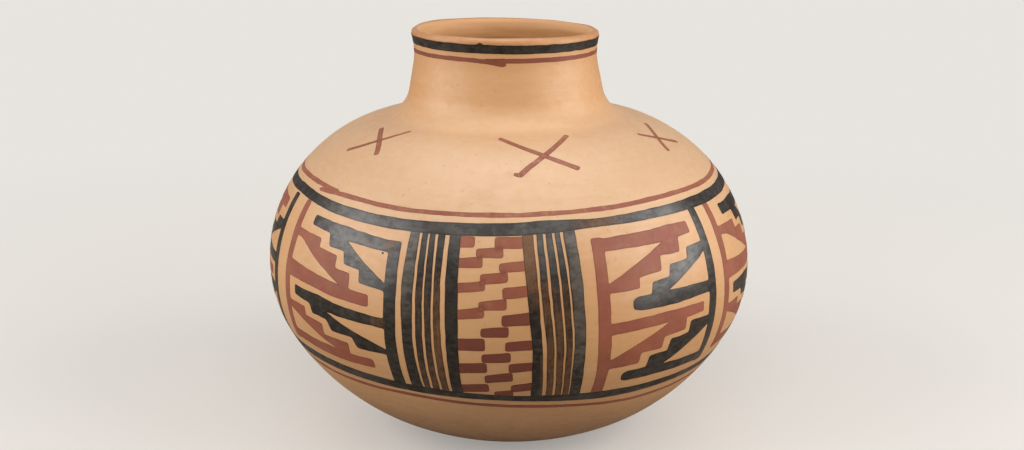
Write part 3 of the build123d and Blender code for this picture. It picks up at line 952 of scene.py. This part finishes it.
# The stepped frets on both sides of the lines, black locked into red, each a patch of slip with corners.
# Their posts run on under the bands. On the left ones the brush ran dry in places, and on the front a
# drop fell on the bare clay. Each dry place: a turn, a height, how far it reaches and how thin it lies.
run_under = 2.2
at_band = 0.8
dry_places = ((-26.5, 148.7, 7, 0.6), (-32.5, 148.0, 4, 0.4), (-28.0, 107.4, 7, 0.6), (-24.0, 86.0, 9, 0.3))
drop_turn = math.radians(-28)
drop_height = 143.5
drop_radius = 0.7
drop_angles = np.linspace(0, full_turn, least_marks, endpoint=False)
drop = np.column_stack((drop_turn + drop_radius / belly_radius * np.cos(drop_angles),
                        length_at(drop_height) + drop_radius * np.sin(drop_angles)))


def fret_loops(node):
    """A painted solid's edges, with those that stop at a band run on under it."""
    loops = film_edges(node)
    for loop in loops:
        loop[np.abs(loop[:, 1] - length_at(shoulder_low(loop[:, 0]))) < at_band, 1] += run_under
        loop[np.abs(loop[:, 1] - length_at(base_high(loop[:, 0]))) < at_band, 1] -= run_under
    return loops


def fret_wash(turn, length, repeat_turn):
    """How thin the slip lies at turns and lengths on a repeat's left fret."""
    across, height = on_front(turn, length, repeat_turn)
    thin = np.zeros(len(turn))
    for dry_turn, dry_height, reach, share in dry_places:
        away = np.hypot(across - dry_turn * mm_per_degree, height - dry_height)
        thin += share * np.exp(-((away / reach) ** 2))
    return thin


for repeat, repeat_turn in enumerate(repeat_turns, start=1):
    drops = [drop] if repeat_turn == 0 else []
    drily = ("wash_and_sheen", lambda turn, length: fret_wash(turn, length, repeat_turn))
    for side, shift, fallen, laid in (("left", 80, drops, drily), ("right", 100, [], None)):
        node = f"{side}_fret_black_{repeat}"
        brush_patch(node, fret_loops(node) + fallen, black, black_lift,
                    seed=shift + repeat, laid=laid)
        node = f"{side}_fret_red_{repeat}"
        brush_patch(node, fret_loops(node), red, red_lift, seed=shift + 10 + repeat)

# The crosses on the bare shoulder: two quick strokes each, one over the other, in the same red with
# little slip on the brush. The front one ends in a short hook. Each stroke: the turn and height of its
# start, middle and end, and its width at the start and at the end.
cross_strokes = (
    ((-2.8, 195.9), (11.2, 190.5), (22.2, 183.8), 3.0, 3.2),
    ((26.9, 195.9), (12.5, 189.6), (3.7, 181.8), 2.9, 2.7),
    ((4.3, 182.3), (3.4, 182.5), (2.4, 182.9), 2.8, 2.2),
    ((-61.0, 184.0), (-51.9, 190.8), (-45.2, 195.7), 2.4, 2.2),
    ((-62.8, 194.4), (-51.3, 190.6), (-45.4, 185.6), 2.8, 2.8),
    ((58.9, 192.1), (65.6, 188.6), (74.2, 183.8), 2.2, 2.4),
    ((76.8, 193.3), (66.1, 188.8), (61.4, 183.0), 2.2, 2.6),
    ((137.6, 195.2), (147.0, 190.2), (154.6, 184.4), 2.4, 2.8),
    ((155.2, 195.6), (145.0, 190.5), (137.2, 184.9), 3.0, 3.2),
    ((212.8, 184.2), (223.0, 190.6), (231.6, 195.4), 3.2, 2.6),
    ((213.4, 195.8), (223.2, 190.4), (230.4, 183.8), 2.4, 3.0),
)
stroke_rows = 17


def stroke_loop(start, middle, end, start_width, end_width):
    """The outline of a stroke that passes through three points, drawn from one width to another."""
    steps = np.linspace(0, 1, stroke_rows)[:, None]
    marks = np.array([(math.radians(turn), length_at(height)) for turn, height in (start, middle, end)])
    scale = np.array((radius_at(marks[1, 1]), 1))
    first, through, last = marks * scale
    path = first * (1 - steps) * (1 - 2 * steps) + through * 4 * steps * (1 - steps)
    path = path + last * steps * (2 * steps - 1)
    along = np.gradient(path, axis=0)
    aside = np.column_stack((-along[:, 1], along[:, 0])) / np.hypot(*along.T)[:, None]
    half = (start_width + (end_width - start_width) * steps) / 2
    return np.vstack((path - aside * half, (path + aside * half)[::-1])) / scale


stroke_loops = [stroke_loop(*stroke) for stroke in cross_strokes]
brush_patch("shoulder_crosses_red", stroke_loops, thin_red, red_lift,
            seed=120, spread=0.15, rounding=0.6)

# The setting: a wide pale floor, which keeps the jar's shadow close to it and glows evenly further off,
# a pale room, and soft lamps for two windows and a skylight. A ceiling shows only in the shine, and a
# window behind only lights. The camera stands where the jar was seen from, a little above its rim.
floor_reach = 30.0
shade_from = (0.35, 0.95)
floor_mirrored = 0.05
floor_lit = (0.62, 0.6, 0.575, 1)
floor_unseen = (0.31, 0.275, 0.24, 1)
near_glow = (0.26, 0.252, 0.24, 1)
pale_glow = (0.8, 0.775, 0.735, 1)
dark = (0, 0, 0, 1)


def seen_rays(finish, mirrored):
    """1 for what the eye sees, straight or through glass, mirrored for what it sees in a shine, else 0."""
    rays = ("Is Camera Ray", "Is Glossy Ray", "Is Transmission Ray")
    camera, glossy, through = (finish.node("ShaderNodeLightPath", {}, {}, ray) for ray in rays)
    seen = camera + glossy * mirrored + through
    return finish.node("ShaderNodeMath", {"operation": "MINIMUM"}, {0: seen, 1: 1})


def floor_finish():
    """Pale board to the eye, duller to the light that it throws back at the jar."""
    pale = Finish("pale_floor")
    seen = seen_rays(pale, floor_mirrored)
    far = pale.between(pale.vector("LENGTH", pale.place, output="Value"), *shade_from)
    pale.set("Base Color", pale.blend(seen, floor_unseen, pale.blend(far, floor_lit, dark)))
    pale.set("Emission Color", pale.blend(seen, dark, pale.blend(far, near_glow, pale_glow)))
    pale.set("Emission Strength", 1)
    pale.set("Roughness", 0.9)
    pale.set("Specular IOR Level", 0)
    return pale.made


floor = bpy.data.meshes.new("floor")
floor_sides = ((-1, -1), (1, -1), (1, 1), (-1, 1))
floor_corners = [(floor_reach * across, floor_reach * back, 0) for across, back in floor_sides]
floor.from_pydata(floor_corners, [], [(0, 1, 2, 3)])
floor.materials.append(floor_finish())
floor_piece = bpy.data.objects.new("floor", floor)
bpy.context.scene.collection.objects.link(floor_piece)

lamp_tint = (1, 0.98, 0.95)
lamp_target = Vector((0, 0, 0.12))


def lamp(name, place, size, power, hidden=()):
    """A square soft lamp that faces the jar's belly, hidden from the camera and the named rays."""
    light = bpy.data.lights.new(name, "AREA")
    light.size = size
    light.energy = power
    light.color = lamp_tint
    stand = bpy.data.objects.new(name, light)
    stand.location = place
    stand.rotation_euler = (lamp_target - Vector(place)).to_track_quat("-Z", "Y").to_euler()
    for rays in ("camera", *hidden):
        setattr(stand, "visible_" + rays, False)
    bpy.context.scene.collection.objects.link(stand)


lamp("right_window", (1.3, -0.35, 0.65), size=1.3, power=20.3)
lamp("left_window", (-1.3, -0.35, 0.65), size=1.3, power=16.8)
lamp("skylight", (0.0, -0.96, 1.27), size=1.4, power=8.2)
lamp("ceiling", (0.0, 0.15, 1.58), size=1.6, power=20, hidden=("diffuse",))
lamp("back_window", (0.0, 1.4, 0.45), size=0.8, power=6.5, hidden=("glossy",))

room_light = 0.1
room_mirrored = 0.25
room = Finish("room", bpy.data.worlds, "Background")
room.set("Color", pale_glow)
room.set("Strength", room_light + seen_rays(room, room_mirrored) * (1 - room_light))
bpy.context.scene.world = room.made

look_down = math.radians(15.74)
camera = bpy.data.cameras.new("camera")
camera.sensor_width = 36
camera.lens = 42.67
eye = bpy.data.objects.new("camera", camera)
eye.location = (0.0022, -0.745, 0.3338)
eye.rotation_euler = (math.pi / 2 - look_down, 0, 0)
bpy.context.scene.collection.objects.link(eye)
bpy.context.scene.camera = eye
bpy.context.scene.view_settings.view_transform = "Standard"
